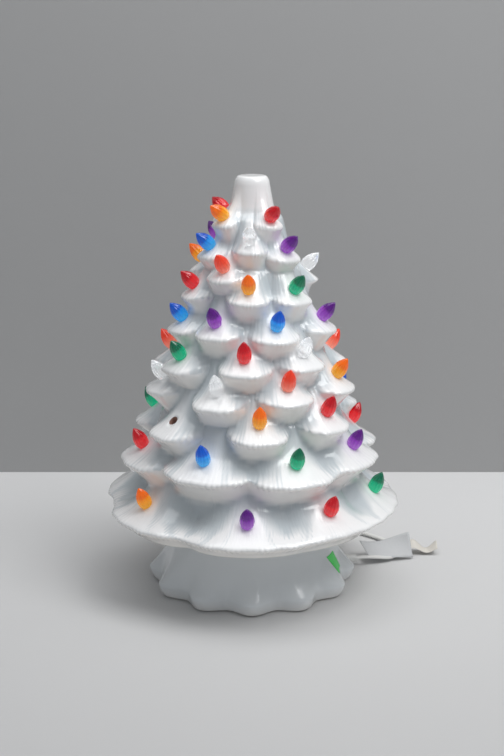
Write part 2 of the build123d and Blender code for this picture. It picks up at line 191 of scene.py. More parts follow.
# colour that runs through a ramp by one of the piece's own attributes
def colourByAttribute(material, attribute, stops):
    graph = material.node_tree
    source = addNode(graph, "ShaderNodeAttribute", attribute_name=attribute)
    ramp = addNode(graph, "ShaderNodeValToRGB")
    while len(ramp.color_ramp.elements) < len(stops):
        ramp.color_ramp.elements.new(0.5)
    for element, (spot, colour) in zip(ramp.color_ramp.elements, stops):
        element.position = spot
        element.color = (*colour, 1)
    graph.links.new(source.outputs["Fac"], ramp.inputs["Fac"])
    return ramp.outputs["Color"]


def setAttribute(piece, name, values):
    layer = piece.data.attributes.new(name, "FLOAT", "POINT")
    layer.data.foreach_set("value", np.asarray(values, np.float32))


# Camera and stage

stage = dict(
    cameraPlace=(0, -1.246, 0.5225),
    cameraTilt=75.4,
    lens=66.19,
    sensor=36,
    planeSize=8,
    wallPlace=0.318,
    floorColour=(0.54, 0.54, 0.54),
    # floorBack and floorFade: painted light, the table painted lighter towards the back
    floorBack=0.74,
    floorFade=(-0.35, 0.3),
    wallColour=(0.39, 0.39, 0.39),
    worldColour=(0.86, 0.9, 0.95),
    worldStrength=0.34,
    keyPlace=(0.85, -0.65, 1.75),
    keyPower=17.5,
    keySize=1.0,
    topPlace=(0.05, 0.25, 1.6),
    topPower=20.5,
    topSize=1.7,
    lampTarget=(0, 0, 0.15),
)


def makeCamera():
    data = bpy.data.cameras.new("camera")
    data.sensor_fit = "VERTICAL"
    data.sensor_height = stage["sensor"]
    data.lens = stage["lens"]
    camera = bpy.data.objects.new("camera", data)
    camera.location = stage["cameraPlace"]
    camera.rotation_euler = (math.radians(stage["cameraTilt"]), 0, 0)
    bpy.context.scene.collection.objects.link(camera)
    bpy.context.scene.camera = camera


def makeLamp(name, place, power, size):
    data = bpy.data.lights.new(name, "AREA")
    data.energy = power
    data.size = size
    lamp = bpy.data.objects.new(name, data)
    lamp.location = place
    aim = Vector(stage["lampTarget"]) - Vector(place)
    lamp.rotation_euler = aim.to_track_quat("-Z", "Y").to_euler()
    bpy.context.scene.collection.objects.link(lamp)


# a backdrop that shows only from its front, so that it never hides the object
def makeBackdropFinish():
    material = newFinish("wallPaint", stage["wallColour"], (0.8, 0.95), scale=3.0, bump=0.00005)
    graph = material.node_tree
    side = addNode(graph, "ShaderNodeNewGeometry")
    clear = addNode(graph, "ShaderNodeBsdfTransparent")
    chosen = addNode(graph, "ShaderNodeMixShader")
    graph.links.new(side.outputs["Backfacing"], chosen.inputs["Fac"])
    graph.links.new(graph.nodes["Principled BSDF"].outputs["BSDF"], chosen.inputs[1])
    graph.links.new(clear.outputs["BSDF"], chosen.inputs[2])
    graph.links.new(chosen.outputs["Shader"], graph.nodes["Material Output"].inputs["Surface"])
    return material


# painted light: a table top painted lighter towards the back, where less light falls, so that it keeps its
# tone
def makeTableFinish():
    material = newFinish("tableTop", stage["floorColour"], (0.55, 0.7), scale=8.0, bump=0.00005)
    graph = material.node_tree
    place = addNode(graph, "ShaderNodeTexCoord")
    parts = addNode(graph, "ShaderNodeSeparateXYZ")
    ramp = addNode(graph, "ShaderNodeMapRange")
    ramp.inputs["From Min"].default_value = stage["floorFade"][0]
    ramp.inputs["From Max"].default_value = stage["floorFade"][1]
    ramp.inputs["To Min"].default_value = stage["floorColour"][0]
    ramp.inputs["To Max"].default_value = stage["floorBack"]
    graph.links.new(place.outputs["Object"], parts.inputs["Vector"])
    graph.links.new(parts.outputs["Y"], ramp.inputs["Value"])
    graph.links.new(ramp.outputs["Result"], graph.nodes["Principled BSDF"].inputs["Base Color"])
    return material


def makeStage():
    size = stage["planeSize"]
    deselectAll()
    bpy.ops.mesh.primitive_plane_add(size=size)
    floor = bpy.context.object
    floor.name = "floor"
    floor.data.materials.append(makeTableFinish())
    deselectAll()
    spot = (0, stage["wallPlace"], size / 2)
    bpy.ops.mesh.primitive_plane_add(size=size, location=spot, rotation=(math.pi / 2, 0, 0))
    wall = bpy.context.object
    wall.name = "wall"
    wall.data.materials.append(makeBackdropFinish())
    world = bpy.data.worlds.new("studio")
    world.use_nodes = True
    sky = world.node_tree.nodes["Background"]
    sky.inputs["Color"].default_value = (*stage["worldColour"], 1)
    sky.inputs["Strength"].default_value = stage["worldStrength"]
    bpy.context.scene.world = world
    makeLamp("key", stage["keyPlace"], stage["keyPower"], stage["keySize"])
    makeLamp("top", stage["topPlace"], stage["topPower"], stage["topSize"])
    bpy.context.scene.view_settings.view_transform = "Standard"


makeCamera()
makeStage()
print("stage set")


# Cord: a flat twin lead on one smooth line from the boot to the plug

cord = dict(
    width=5.0, thickness=2.7, length=1.74, lead=9.0,
    exitDirection=105.0, exitRadius=105.18, exitHeight=9.0, bootRadius=69.2,
    coreStart=-120, coreStep=30, coreSteps=9, resolution=4, order=3,
)
coil = dict(centre=(20.0, 168.0), radius=40.0, pitch=5.6, halfTurnsIn=7, low=3.2, pointsPerHalf=8)
cordRun = [
    (124, 34, 7),
    (137, 39, 4),
    (147.5, 54, 3),
    (148, 72, 3),
    (139, 87, 3),
    (125, 102, 3),
    (109, 116, 3),
    (88, 125, 3),
    (64, 127.5, 3.1),
    (40, 128, 3.2),
]
cordTail = [(30, 213.6, 8.8), (43, 212.5, 8.2), (60, 209.5, 7.2), (78, 207, 7)]
innerRoute = [(0, 0, 58.8), (0, 0, 37.8), (9, 2, 21), (25, 6, 12), (46, 12.2, 9.4)]


def coilRoute():
    steps = coil["pointsPerHalf"]
    radii = [coil["radius"] - coil["pitch"] / 2 * k for k in range(coil["halfTurnsIn"] + 1)]
    radii += radii[-2::-1]
    x, y = coil["centre"][0], coil["centre"][1] - coil["radius"]
    z = coil["low"]
    side = 1
    route = [(x, y, z)]
    for k, radius in enumerate(radii):
        lift = coil["pitch"] if k == coil["halfTurnsIn"] else 0
        for step in range(1, steps + 1):
            turn = math.pi * step / steps
            across = x - side * radius * math.sin(turn)
            route.append((across, y + side * radius * (1 - math.cos(turn)), z + lift * step / steps))
        y += 2 * side * radius
        z += lift
        side = -side
    return route


# two round cores side by side, with a groove between them
def leadProfile():
    curve = bpy.data.curves.new("leadProfile", "CURVE")
    spline = curve.splines.new("POLY")
    core = cord["thickness"] / 2
    apart = cord["width"] / 2 - core
    points = []
    for side in (1, -1):
        for step in range(cord["coreSteps"]):
            turn = math.radians(cord["coreStart"] + cord["coreStep"] * step)
            points.append((side * (apart + core * math.cos(turn)), side * core * math.sin(turn)))
    spline.points.add(len(points) - 1)
    for point, (x, y) in zip(spline.points, points):
        point.co = (x * mm, y * mm, 0, 1)
    spline.use_cyclic_u = True
    profile = bpy.data.objects.new("leadProfile", curve)
    bpy.context.scene.collection.objects.link(profile)
    profile.hide_render = True
    profile.hide_viewport = True
    return profile


def layLead(name, route, profile):
    curve = bpy.data.curves.new(name, "CURVE")
    curve.dimensions = "3D"
    curve.twist_mode = "Z_UP"
    curve.resolution_u = cord["resolution"]
    spline = curve.splines.new("NURBS")
    spline.points.add(len(route) - 1)
    for point, spot in zip(spline.points, route):
        point.co = (*(Vector(spot) * mm), 1)
    spline.order_u = cord["order"]
    spline.use_endpoint_u = True
    curve.bevel_mode = "OBJECT"
    curve.bevel_object = profile
    curve.use_fill_caps = True
    piece = bpy.data.objects.new(name, curve)
    bpy.context.scene.collection.objects.link(piece)
    return piece


vinyl = newFinish("cordVinyl", (0.78, 0.78, 0.76), (0.3, 0.45), scale=120.0, bump=0.00015)
profile = leadProfile()
cordExit = around(cord["exitDirection"], cord["exitRadius"], cord["exitHeight"])
cordLead = around(cord["exitDirection"], cord["exitRadius"] + cord["lead"], cord["exitHeight"])
mainLead = layLead("mains_cord", [cordExit, cordLead, *cordRun, *coilRoute(), *cordTail], profile)
dress(mainLead, "base", "cord_vinyl", vinyl, "cord_run", "cord_coil", "cord_tail")
boot = around(cord["exitDirection"], cord["bootRadius"], cord["exitHeight"])
innerLead = layLead("inner_lead", [*innerRoute, boot, cordExit], profile)
dress(innerLead, "base", "cord_vinyl", vinyl, "cord_inner")
print("cord laid")


# Tree: a trunk that narrows upwards, with boughs that swell out of it

tree = dict(
    foot=70.0, rimLip=13.0, rises=(49.0, 34.0, 28.0, 27.0, 27.5, 29.0, 19.5, 18.5, 26.5), stubRise=43.0,
    rimRadius=138.0, crownRadius=41.0, bulge=3.5, rimValley=33.0, crownValley=13.0,
    stubRoot=20.0, stubTop=14.6, stubShoulder=14.0, stubEdge=3.6, stubCap=14.0,
    rimHeight=52.0, crownHeight=34.0, rimUnder=25.0, crownUnder=17.0,
    rimSpread=41.0, secondSpread=31.0, tierSpread=20.5, crownSpread=30.0,
    rimTopTaper=0.75, topTaper=0.5, underTaper=0.4,
    topPower=2.5, underPower=1.15, sidePower=3.4, crestPower=1.5, crestRise=4, edgePower=1.5, blendPower=4.0,
    noseRound=2.1, noseGain=0.08, noseReach=4.0, rimDroop=5.0, crownDroop=4.0, droopReach=13.0,
    flutePitch=5.0, rimFlute=1.9, crownFlute=1.2, fluteFade=0.42, fluteUnder=2.2, fluteHang=0.9,
    mouth=61.0, floor=6.0, wall=6.0, columns=1200, fineTiers=3, sharePower=4, leastShare=1e-6,
)
boughs = (
    ((-105, 3, "clear"), (-54, 0, "amber"), (-2, -1, "purple"), (36, 2, "red"),
     (74, 2, "green"), (120, 0, "blue"), (165, 0, "coral"), (210, 0, "green")),
    ((-72, -3, "red"), (-24, 0, "blue"), (22, -2, "green"), (62, 1, "purple"),
     (112, 0, "red"), (165, 0, "amber"), (232, 0, "clear")),
    ((-110, -15, "green"), (-48, -4, "empty"), (4, 0, "amber"), (46, 3, "red"),
     (120, -2, "blue"), (187, 0, "purple")),
    ((-72, 0, "clear"), (-21, -2, "clear"), (22, 2, "coral"), (66, 3, "amber"),
     (155, 0, "purple"), (220, 0, "red")),
    ((-110, -10, "coral"), (-55, -4, "green"), (-5, 0, "red"), (37, 2, "clear"),
     (115, -12, "coral"), (183, 0, "blue")),
    ((-69, 0, "blue"), (-29, 1, "purple"), (19, -1, "blue"), (71, 0, "purple"),
     (150, 0, "green"), (217, 0, "amber")),
    ((-67, 1, "red"), (-3, 2, "amber"), (42, 0, "green"), (143, 0, "blue"), (215, 0, "purple")),
    ((-114, -1, "amber"), (-30, 0, "coral"), (112, -9, "clear"), (190, 0, "green")),
    ((-134, 0, "purple"), (-60, -1, "blue"), (-3, 6, "clear"), (44, -2, "purple"), (160, 0, "red")),
    ((-50, 0, "amber"), (29, 0, "red"), (165, 0, "blue"), (230, 0, "red")),
)
lips = np.cumsum([tree["foot"] + tree["rimLip"], *tree["rises"]])
treeTop = lips[-1] + tree["stubRise"]
spreads = [tree["rimSpread"], tree["secondSpread"]]
spreads += list(np.linspace(tree["tierSpread"], tree["crownSpread"], len(boughs) - 2))


def climb(z):
    return (z - lips[0]) / (lips[-1] - lips[0])


def lipRadius(z):
    share = climb(z)
    bulge = tree["bulge"] * np.sin(np.pi * np.clip(share, 0, 1))
    return mix(tree["rimRadius"], tree["crownRadius"], share) + bulge


def trunkRadius(z):
    low = lipRadius(z) - mix(tree["rimValley"], tree["crownValley"], climb(z))
    root = lips[-1] + tree["stubShoulder"]
    stub = mix(tree["stubRoot"], tree["stubTop"], (z - root) / (treeTop - root))
    share = np.clip((z - lips[-1]) / tree["stubShoulder"], 0, 1)
    high = mix(tree["crownRadius"] - tree["crownValley"], stub, smooth(share))
    return np.where(z <= lips[-1], low, high)


# how far a bough stands out of the trunk, and how far across its fan a place lies
def boughSwell(tier, bough, lift, direction, z, gain):
    share = climb(lips[tier])
    lip = lips[tier] + lift
    up = np.clip((z - lip) / mix(tree["rimHeight"], tree["crownHeight"], share), 0, 1)
    down = np.clip((lip - z) / mix(tree["rimUnder"], tree["crownUnder"], share), 0, 1)
    fall = (1 - up) ** tree["topPower"] * (1 - down ** tree["underPower"])
    upTaper = tree["rimTopTaper"] * np.sqrt(up) if tier == 0 else tree["topTaper"] * up
    taper = (1 - upTaper) * (1 - tree["underTaper"] * down)
    across = turnBetween(direction, bough) / (spreads[tier] * taper)
    side = tree["sidePower"] - tree["crestPower"] * (1 - (1 - up) ** tree["crestRise"])
    bell = (1 - np.clip(np.abs(across), 0, 1) ** side) ** tree["edgePower"]
    nose = 1 + gain * np.exp(-(((z - lip) / tree["noseReach"]) ** 2))
    return np.maximum(lipRadius(lip) - trunkRadius(z), 0) * fall * bell * nose, across


def treeRadius(direction, z, gain=0.0):
    total = np.zeros(np.broadcast(direction, z).shape)
    for tier, row in enumerate(boughs):
        for bough, lift, _ in row:
            total += boughSwell(tier, bough, lift, direction, z, gain)[0] ** tree["blendPower"]
    return trunkRadius(z) + total ** (1 / tree["blendPower"])


# the lip of a bough rises towards its sides
def lipDroop(direction, z):
    rise = np.zeros(z.shape)
    for tier, row in enumerate(boughs):
        aside = np.min([np.abs(turnBetween(direction, bough)) for bough, _, _ in row], axis=0)
        near = np.clip(1 - np.abs(z - lips[tier]) / tree["droopReach"], 0, 1)
        most = mix(tree["rimDroop"], tree["crownDroop"], climb(lips[tier]))
        rise += smooth(near) * most * np.clip(aside / spreads[tier], 0, 1) ** 2
    return rise


needle = dict(
    shortest=0.5, sideLength=1.3, ragged=0.4, raggedTurns=9,
    wander=1.4, wanderTurns=4.7, jitter=0.7, jitterTurns=11.3, groove=0.97, middle=0.65,
    bunchTurns=0.37, plainDepth=0.8, bunchDepth=0.35, bunchRise=0.45, crestDepth=0.45, sideDepth=0.75,
)
needlePhases = [[[dice.uniform(0, 2 * math.pi) for _ in range(3)] for _ in row] for row in boughs]


# needles: rounded ridges with narrow grooves, fanning out to the lip
def needleFlutes(direction, z):
    relief = np.zeros(z.shape)
    weight = np.full(z.shape, tree["leastShare"])
    for tier, row in enumerate(boughs):
        share = climb(lips[tier])
        height = mix(tree["rimHeight"], tree["crownHeight"], share)
        depth = mix(tree["rimFlute"], tree["crownFlute"], share)
        count = round(2 * math.radians(spreads[tier]) * lipRadius(lips[tier]) / tree["flutePitch"])
        for (bough, lift, _), (a, b, c) in zip(row, needlePhases[tier]):
            swell, across = boughSwell(tier, bough, lift, direction, z, 0)
            above = z - lips[tier] - lift
            side = np.clip(np.abs(across), 0, 1)
            longer = needle["shortest"] + needle["sideLength"] * side**2
            ragged = 1 + needle["ragged"] * np.sin(needle["raggedTurns"] * across + c)
            length = tree["fluteFade"] * height * longer * ragged
            fade = np.where(above > 0, np.exp(-above / length), 1)
            fade = fade * np.where(above < 0, np.exp(-((above / tree["fluteUnder"]) ** 2)), 1)
            turn = math.pi * count / 2 * across
            turn += needle["wander"] * np.sin(needle["wanderTurns"] * across + a)
            turn += needle["jitter"] * np.sin(needle["jitterTurns"] * across + b)
            ridge = np.sqrt(1 - needle["groove"] * np.sin(turn) ** 2) - needle["middle"]
            bunch = np.sin(needle["bunchTurns"] * turn + c)
            deep = depth * (needle["crestDepth"] + needle["sideDepth"] * side)
            bunched = needle["plainDepth"] + needle["bunchDepth"] * bunch
            part = swell ** tree["sharePower"]
            relief += part * deep * (ridge * bunched + needle["bunchRise"] * bunch) * fade
            weight += part
    return relief / weight


treeRows = dict(
    footSteps=(0, 1, 3), lipOffsets=(-9, -5.5, -3.2, -1.6, -0.3, 1, 2.4, 4.2, 7, 11, 16),
    under=9, clear=1.5, spacing=6, stubSteps=6, liftReach=0.8, liftRest=0.05,
    noseSteps=(-1.5, -1, -0.5, 0, 0.5, 1, 1.5), roundFrom=5, droopFrom=4,
    insideShare=8, insideRows=16, mouthEdge=0.8, footRings=((0.5, 4), (0.9, 2)),
    fineMiddle=2, fineReach=7, edgeSteps=5, capShare=0.5,
)


def treeLevels():
    levels = [tree["foot"] + step for step in treeRows["footSteps"]]
    for tier, lip in enumerate(lips):
        last = tier == len(lips) - 1
        room = tree["stubShoulder"] if last else lips[tier + 1] - lip - treeRows["under"]
        levels += [lip + offset for offset in treeRows["lipOffsets"] if offset < room - treeRows["clear"]]
        high = levels[-1]
        top = lip + room
        count = int((top - high) / treeRows["spacing"])
        levels += [mix(high, top, k / (count + 1)) for k in range(1, count + 1)]
    root = lips[-1] + tree["stubShoulder"]
    steps = treeRows["stubSteps"]
    levels += [mix(root, treeTop - tree["stubEdge"], k / steps) for k in range(steps + 1)]
    return np.array(levels)


# every row follows the lips of its tier, bough by bough
def rowShift(levels, directions):
    lifts = np.zeros((len(lips) + 2, len(directions)))
    for tier, row in enumerate(boughs):
        total = np.full(len(directions), treeRows["liftRest"])
        for bough, lift, _ in row:
            aside = turnBetween(directions, bough)
            near = np.exp(-((aside / (treeRows["liftReach"] * spreads[tier])) ** 2))
            lifts[tier + 1] += near * lift
            total += near
        lifts[tier + 1] /= total
    anchors = [tree["foot"], *lips, lips[-1] + tree["stubShoulder"]]
    shares = np.stack([np.interp(levels, anchors, hat) for hat in np.eye(len(anchors))], axis=1)
    return shares @ lifts


def treeSkin(levels):
    directions = np.arange(tree["columns"]) * 360 / tree["columns"]
    z = levels[:, None] + rowShift(levels, directions)
    wide = np.broadcast_to(directions, z.shape)
    radius = np.zeros(z.shape)
    weights = 0
    rounding = tree["noseRound"] * np.clip((z - tree["foot"]) / treeRows["roundFrom"], 0, 1)
    for step in treeRows["noseSteps"]:
        weight = math.exp(-step * step / 2)
        radius += weight * treeRadius(wide, z + step * rounding, tree["noseGain"])
        weights += weight
    radius /= weights
    turn = np.radians(wide)
    height = z + lipDroop(wide, z) * np.clip((z - tree["foot"]) / treeRows["droopFrom"], 0, 1)
    skin = polar(radius, turn, height)
    along = np.roll(skin, -1, axis=1) - np.roll(skin, 1, axis=1)
    outward = np.cross(along, np.gradient(skin, axis=0))
    outward /= np.linalg.norm(outward, axis=2, keepdims=True)
    needles = needleFlutes(wide, z)
    skin += outward * needles[..., None]
    skin[..., 2] -= tree["fluteHang"] * needles
    return skin


def circleRing(radius, z, count):
    return polar(radius, np.arange(count) * 2 * np.pi / count, z)


# faces between rings that follow each other, also where one has half as many points
def ringFaces(low, lowCount, high, highCount):
    faces = []
    for k in range(min(lowCount, highCount)):
        nextLow = low + (k + 1) * max(lowCount // highCount, 1) % lowCount
        nextHigh = high + (k + 1) * max(highCount // lowCount, 1) % highCount
        if lowCount == highCount:
            faces.append((low + k, nextLow, nextHigh, high + k))
        elif lowCount > highCount:
            faces.append((low + 2 * k, low + 2 * k + 1, nextLow, nextHigh, high + k))
        else:
            faces.append((low + k, nextLow, nextHigh, high + 2 * k + 1, high + 2 * k))
    return faces


def ringPiece(name, rings, closed=False):
    starts = np.cumsum([0, *(len(ring) for ring in rings)]).tolist()
    faces = []
    for k in range(len(rings) - 1):
        faces += ringFaces(starts[k], len(rings[k]), starts[k + 1], len(rings[k + 1]))
    if closed:
        faces += ringFaces(starts[-2], len(rings[-1]), 0, len(rings[0]))
    else:
        faces.append(tuple(reversed(range(len(rings[0])))))
        faces.append(tuple(range(starts[-2], starts[-1])))
    mesh = bpy.data.meshes.new(name)
    mesh.from_pydata((np.concatenate(rings) * mm).tolist(), [], faces)
    mesh.validate()
    mesh.shade_smooth()
    piece = bpy.data.objects.new(name, mesh)
    bpy.context.scene.collection.objects.link(piece)
    return piece


def insideRings():
    count = tree["columns"] // treeRows["insideShare"]
    low = tree["foot"] + tree["floor"]
    heights = np.linspace(treeTop - tree["stubCap"], low, treeRows["insideRows"])
    rings = [circleRing(trunkRadius(z) - tree["wall"], z, count) for z in heights]
    mouth, edge = tree["mouth"], treeRows["mouthEdge"]
    foot = tree["foot"]
    outline = [(mouth + edge, low), (mouth, low - edge), (mouth, foot + edge), (mouth + edge, foot)]
    return rings + [circleRing(radius, z, count) for radius, z in outline]


def makeTree():
    levels = treeLevels()
    skin = treeSkin(levels)
    rings = insideRings()
    foot = skin[0]
    inner = circleRing(tree["mouth"] + treeRows["mouthEdge"], tree["foot"], tree["columns"])
    rings += [mix(inner, foot, share)[::skip] for share, skip in treeRows["footRings"]]
    fineMiddles = lips[: tree["fineTiers"]] + treeRows["fineMiddle"]
    for level, row in zip(levels, skin):
        near = np.min(np.abs(fineMiddles - level)) < treeRows["fineReach"]
        rings.append(row if near else row[::2])
    top = circleRing(1.0, 0, tree["columns"] // 2)
    edge = tree["stubEdge"]
    steps = treeRows["edgeSteps"]
    for step in range(1, steps + 1):
        turn = math.radians(90 * step / steps)
        radius = tree["stubTop"] - edge + edge * math.cos(turn)
        lift = treeTop - edge + edge * math.sin(turn)
        rings.append(top * (radius, radius, 0) + (0, 0, lift))
    radius = tree["stubTop"] * treeRows["capShare"]
    rings.append(top[::2] * (radius, radius, 0) + (0, 0, treeTop))
    return ringPiece("tree", rings)


# Seats of the lights

seat = dict(
    rimInset=21.0, crownInset=9.5, rimTilt=24.0, crownTilt=56.0, frontTilt=20.0, sink=0.8, halvings=40,
)


# where a light stands on its bough; those at the front and back of the middle tiers stand straighter
def seatPlace(tier, bough, lift):
    share = climb(lips[tier])
    low = lips[tier] + lift
    radius = lipRadius(low) - mix(seat["rimInset"], seat["crownInset"], share)
    high = low + mix(tree["rimHeight"], tree["crownHeight"], share)
    for _ in range(seat["halvings"]):
        middle = (low + high) / 2
        if treeRadius(bough, np.array(middle)) > radius:
            low = middle
        else:
            high = middle
    straighter = seat["frontTilt"] * math.sin(math.pi * share) * math.cos(math.radians(bough)) ** 2
    tilt = math.radians(mix(seat["rimTilt"], seat["crownTilt"], share) - straighter)
    axis = around(bough, math.sin(tilt), math.cos(tilt))
    return around(bough, radius, low) - axis * seat["sink"], axis


seats = {}
for tier, row in enumerate(boughs):
    for bough, lift, colour in row:
        seats.setdefault(colour, []).append(seatPlace(tier, bough, lift))

hole = dict(radius=4.25, depth=20.0, proud=14.0, sides=40)
clayBrown = newFinish("bareClay", (0.42, 0.25, 0.2), (0.7, 0.9), scale=200.0, pits=0.6)


def cutEmptyHole(piece):
    spot, axis = seats["empty"][0]
    middle = spot + axis * (hole["proud"] - hole["depth"]) / 2
    deselectAll()
    bpy.ops.mesh.primitive_cylinder_add(
        vertices=hole["sides"],
        radius=hole["radius"] * mm,
        depth=(hole["proud"] + hole["depth"]) * mm,
        location=middle * mm,
        rotation=axis.to_track_quat("Z", "Y").to_euler(),
    )
    cutter = bpy.context.object
    cutter.data.materials.append(clayBrown)
    settings = dict(operation="DIFFERENCE", solver="EXACT", material_mode="TRANSFER")
    applyModifier(piece, "BOOLEAN", object=cutter, **settings)
    bpy.data.objects.remove(cutter)


# glaze pools blue in the hollows, with painted shade there, in the valleys between boughs and in the needle
# grooves; the undersides get a painted warm bounce light
glazeColour = dict(hollow=(0.58, 0.635, 0.665), body=(0.9, 0.9, 0.9), under=(0.98, 0.95, 0.91))
glazeCoat = dict(
    hollowSpot=0.06, bodySpot=0.42, rippleScale=45.0, pits=0.1, ripple=0.0005,
    coatRough=0.04, strokeDepth=0.0004, strokeScale=1.0, strokeDetail=2.0,
)


# fine strokes down the slopes, laid over the ripples of the surface
def addStrokes(graph):
    sweep = addNode(graph, "ShaderNodeAttribute", attribute_name="sweep")
    strokes = addNode(graph, "ShaderNodeTexNoise")
    strokes.inputs["Scale"].default_value = glazeCoat["strokeScale"]
    strokes.inputs["Detail"].default_value = glazeCoat["strokeDetail"]
    graph.links.new(sweep.outputs["Vector"], strokes.inputs["Vector"])
    relief = addNode(graph, "ShaderNodeBump")
    relief.inputs["Distance"].default_value = glazeCoat["strokeDepth"]
    slope = addNode(graph, "ShaderNodeAttribute", attribute_name="slope")
    graph.links.new(slope.outputs["Fac"], relief.inputs["Strength"])
    shader = graph.nodes["Principled BSDF"]
    graph.links.new(strokes.outputs["Fac"], relief.inputs["Height"])
    graph.links.new(shader.inputs["Normal"].links[0].from_socket, relief.inputs["Normal"])
    graph.links.new(relief.outputs["Normal"], shader.inputs["Normal"])


def makeGlaze(name, rough, coat):
    material = newFinish(
        name, glazeColour["body"], rough,
        scale=glazeCoat["rippleScale"], pits=glazeCoat["pits"], bump=glazeCoat["ripple"],
    )
    graph = material.node_tree
    shader = graph.nodes["Principled BSDF"]
    shader.inputs["Coat Weight"].default_value = coat
    shader.inputs["Coat Roughness"].default_value = glazeCoat["coatRough"]
    # pooled glaze with painted shade in the hollows, the valleys and the grooves
    stops = [(glazeCoat["hollowSpot"], glazeColour["hollow"]), (glazeCoat["bodySpot"], glazeColour["body"])]
    pooledAndShaded = colourByAttribute(material, "relief", stops)
    # painted light: a warm bounce light on the undersides
    under = addNode(graph, "ShaderNodeAttribute", attribute_name="underside")
    blend = addNode(graph, "ShaderNodeMix", data_type="RGBA")
    blend.inputs[7].default_value = (*glazeColour["under"], 1)
    graph.links.new(under.outputs["Fac"], blend.inputs[0])
    graph.links.new(pooledAndShaded, blend.inputs[6])
    graph.links.new(blend.outputs[2], shader.inputs["Base Color"])
    addStrokes(graph)
    return material


glaze = makeGlaze("whiteGlaze", rough=(0.08, 0.2), coat=0.4)
treePiece = makeTree()
treePiece.data.materials.append(glaze)
cutEmptyHole(treePiece)


def shapeOf(piece):
    count = len(piece.data.vertices)
    spots = np.zeros(count * 3, np.float32)
    piece.data.vertices.foreach_get("co", spots)
    normals = np.zeros(count * 3, np.float32)
    piece.data.vertex_normals.foreach_get("vector", normals)
    return spots.reshape(-1, 3) / mm, normals.reshape(-1, 3)


tint = dict(
    valleyReach=9.0, valleyEdge=0.22, valleySpan=0.36, valleyLow=0.9, valleyHigh=0.65, leastDepth=6,
    grooveGain=2.2, grooveShare=0.66, stubStart=6, stubShare=0.5, underGain=1.6,
    strokeShare=0.75, slopeGain=2.5, slopeStart=0.2, strokesAround=0.3, strokesDown=0.04,
)


# 1 in the valleys between the boughs of a tier, 0 on their crests and at their lips; painted shade darkens
# the glaze there
def valleyShare(direction, z):
    share = np.zeros(z.shape)
    weight = np.full(z.shape, tree["leastShare"])
    for tier, row in enumerate(boughs):
        for bough, lift, _ in row:
            swell, across = boughSwell(tier, bough, lift, direction, z, 0)
            above = np.clip((z - lips[tier] - lift) / tint["valleyReach"], 0, 1)
            aside = np.clip((np.abs(across) - tint["valleyEdge"]) / tint["valleySpan"], 0, 1)
            part = swell ** tree["sharePower"]
            share += part * aside * above
            weight += part
    return share / weight


def markTree(piece):
    spots, normals = shapeOf(piece)
    radius = np.hypot(spots[:, 0], spots[:, 1])
    z = spots[:, 2]
    trunk = trunkRadius(z)
    relief = (radius - trunk) / np.maximum(lipRadius(z) - trunk, tint["leastDepth"])
    turn = np.arctan2(spots[:, 0], -spots[:, 1])
    direction = np.degrees(turn)
    upward = normals[:, 2]
    # painted shade: the glaze is darker in the valleys between boughs and in the needle grooves on faces that
    # look up, over the pooled glaze of the hollows
    valley = mix(tint["valleyLow"], tint["valleyHigh"], climb(z)) * valleyShare(direction, z)
    grooves = np.clip(-tint["grooveGain"] * needleFlutes(direction, z), 0, 1) * (upward > 0)
    pooledAndShaded = np.clip(relief, 0, 1) * (1 - valley) * (1 - tint["grooveShare"] * grooves)
    stub = np.clip((z - lips[-1] - tint["stubStart"]) / tree["stubShoulder"], 0, 1)
    setAttribute(piece, "relief", np.maximum(pooledAndShaded, tint["stubShare"] * stub))
    # painted light: a warm bounce light on faces that look down
    setAttribute(piece, "underside", np.clip(-tint["underGain"] * upward, 0, 1))
    below = np.clip((lips[-1] + tree["stubShoulder"] - z) / tree["stubShoulder"], 0, 1)
    slope = np.clip(tint["slopeGain"] * upward - tint["slopeStart"], 0, 1)
    setAttribute(piece, "slope", tint["strokeShare"] * slope * below)
    aroundTree = turn * lipRadius(z) * tint["strokesAround"]
    sweep = np.stack([aroundTree, (z - radius) * tint["strokesDown"], z * 0], axis=1)
    layer = piece.data.attributes.new("sweep", "FLOAT_VECTOR", "POINT")
    layer.data.foreach_set("vector", sweep.astype(np.float32).ravel())


markTree(treePiece)
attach(treePiece, "tree")
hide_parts("tree_shell")
print("tree", len(treePiece.data.polygons), "faces")


# Base: twelve lobes that fade out towards the collar

base = dict(
    height=70.0, bellyHeight=13.0, footRadius=88.0, bellyRadius=92.5, topRadius=72.0, waistPower=1.78,
    lobes=12, lobeDepth=5.5, lobePower=4.6, lobeFoot=0.2, wall=6.0, plate=6.0,
    relief=0.22, dryInset=1.6, dryHeight=1.5, edge=2.5,
    collar=60.0, collarWall=6.0, collarHeight=4.5, collarEdge=1, socketHole=10.9, corner=0.6,
    dryEdge=0.8, glazeEdge=0.5, columns=480, bellyRows=8, wallRows=20, edgeTurns=(30, 60, 90),
    insideRows=10, insideFoot=4,
)


def baseRadius(direction, z):
    if z < base["bellyHeight"]:
        below = (base["bellyHeight"] - z) / base["bellyHeight"]
        middle = base["bellyRadius"] - (base["bellyRadius"] - base["footRadius"]) * below**2
        lobe = base["lobeDepth"] * (1 - base["lobeFoot"] * below**2)
    else:
        above = (z - base["bellyHeight"]) / (base["height"] - base["bellyHeight"])
        fade = (1 - min(above, 1)) ** base["waistPower"]
        middle = mix(base["topRadius"], base["bellyRadius"], fade)
        lobe = base["lobeDepth"] * (1 - min(above, 1)) ** base["lobePower"]
    return middle + lobe * np.cos(np.radians(base["lobes"] * direction))


def baseRing(z, inset=0.0, height=None):
    directions = np.arange(base["columns"]) * 360 / base["columns"]
    radius = baseRadius(directions, z) - inset
    return polar(radius, np.radians(directions), z if height is None else height)


